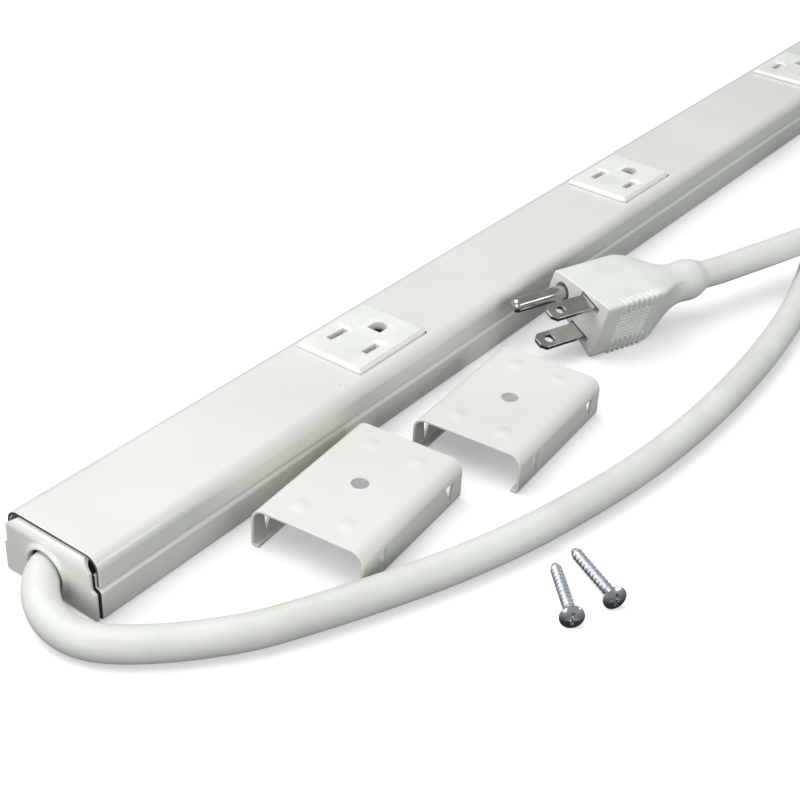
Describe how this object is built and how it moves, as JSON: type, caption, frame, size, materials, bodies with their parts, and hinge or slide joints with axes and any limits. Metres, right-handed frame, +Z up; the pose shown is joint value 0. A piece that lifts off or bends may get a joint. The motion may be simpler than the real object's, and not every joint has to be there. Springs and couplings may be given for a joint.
{
  "type": "power strip",
  "caption": "Long slim power strip: a two-piece painted steel raceway with a row of grounded outlets, a round cord with a straight plug, and its mounting clips and screws.",
  "frame": {"origin": "on the floor, under the middle of the raceway's base", "axes": "+X along the raceway, away from the cord; +Y across it; +Z up, the way the outlets face"},
  "size_m": [0.9327, 0.1976, 0.0222],
  "materials": {
    "white_paint": "satin",
    "outlet_plastic": "satin",
    "inner_plastic": "matte",
    "brass_contact": "satin",
    "insulation_black": "satin",
    "insulation_white": "satin",
    "insulation_green": "satin",
    "zinc": "satin",
    "cord_sheath": "satin",
    "plug_moulding": "satin",
    "nickel": "polished"
  },
  "bodies": {
    "strip": {"base_channel": "white_paint", "cover": "white_paint", "end_plate_cord": "white_paint", "end_plate_blind": "white_paint", "outlet_1_face": "outlet_plastic", "outlet_1_back": "inner_plastic", "outlet_1_hot_contact": "brass_contact", "outlet_1_neutral_contact": "brass_contact", "outlet_1_ground_contact": "brass_contact", "outlet_2_face": "outlet_plastic", "outlet_2_back": "inner_plastic", "outlet_2_hot_contact": "brass_contact", "outlet_2_neutral_contact": "brass_contact", "outlet_2_ground_contact": "brass_contact", "outlet_3_face": "outlet_plastic", "outlet_3_back": "inner_plastic", "outlet_3_hot_contact": "brass_contact", "outlet_3_neutral_contact": "brass_contact", "outlet_3_ground_contact": "brass_contact", "outlet_4_face": "outlet_plastic", "outlet_4_back": "inner_plastic", "outlet_4_hot_contact": "brass_contact", "outlet_4_neutral_contact": "brass_contact", "outlet_4_ground_contact": "brass_contact", "outlet_5_face": "outlet_plastic", "outlet_5_back": "inner_plastic", "outlet_5_hot_contact": "brass_contact", "outlet_5_neutral_contact": "brass_contact", "outlet_5_ground_contact": "brass_contact", "outlet_6_face": "outlet_plastic", "outlet_6_back": "inner_plastic", "outlet_6_hot_contact": "brass_contact", "outlet_6_neutral_contact": "brass_contact", "outlet_6_ground_contact": "brass_contact", "cord_conductor_hot": "insulation_black", "splice_hot": "inner_plastic", "strip_wire_hot": "insulation_black", "cord_conductor_ground": "insulation_green", "splice_ground": "inner_plastic", "strip_wire_ground": "insulation_green", "cord_conductor_neutral": "insulation_white", "splice_neutral": "inner_plastic", "strip_wire_neutral": "insulation_white", "bonding_wire": "insulation_green", "ground_screw": "zinc", "cord_clamp": "zinc", "clamp_screw_right": "zinc", "clamp_screw_left": "zinc", "cord_jacket_inside": "cord_sheath", "cord_run": "cord_sheath", "cord_coil": "cord_sheath", "cord_lead": "cord_sheath", "plug_body": "plug_moulding", "plug_ground_pin": "nickel", "plug_neutral_blade": "nickel", "plug_hot_blade": "nickel"},
    "clip_near": {"clip_near": "white_paint"},
    "clip_far": {"clip_far": "white_paint"},
    "screw_near": {"screw_near": "zinc"},
    "screw_far": {"screw_far": "zinc"}
  },
  "joints": [
    {"name": "clip_near_lift", "type": "slide", "parent": "strip", "child": "clip_near", "axis": [0, 0, 1], "range_m": [0, 0.06]},
    {"name": "clip_far_lift", "type": "slide", "parent": "strip", "child": "clip_far", "axis": [0, 0, 1], "range_m": [0, 0.06]},
    {"name": "screw_near_lift", "type": "slide", "parent": "strip", "child": "screw_near", "axis": [0, 0, 1], "range_m": [0, 0.05]},
    {"name": "screw_far_lift", "type": "slide", "parent": "strip", "child": "screw_far", "axis": [0, 0, 1], "range_m": [0, 0.05]}
  ]
}
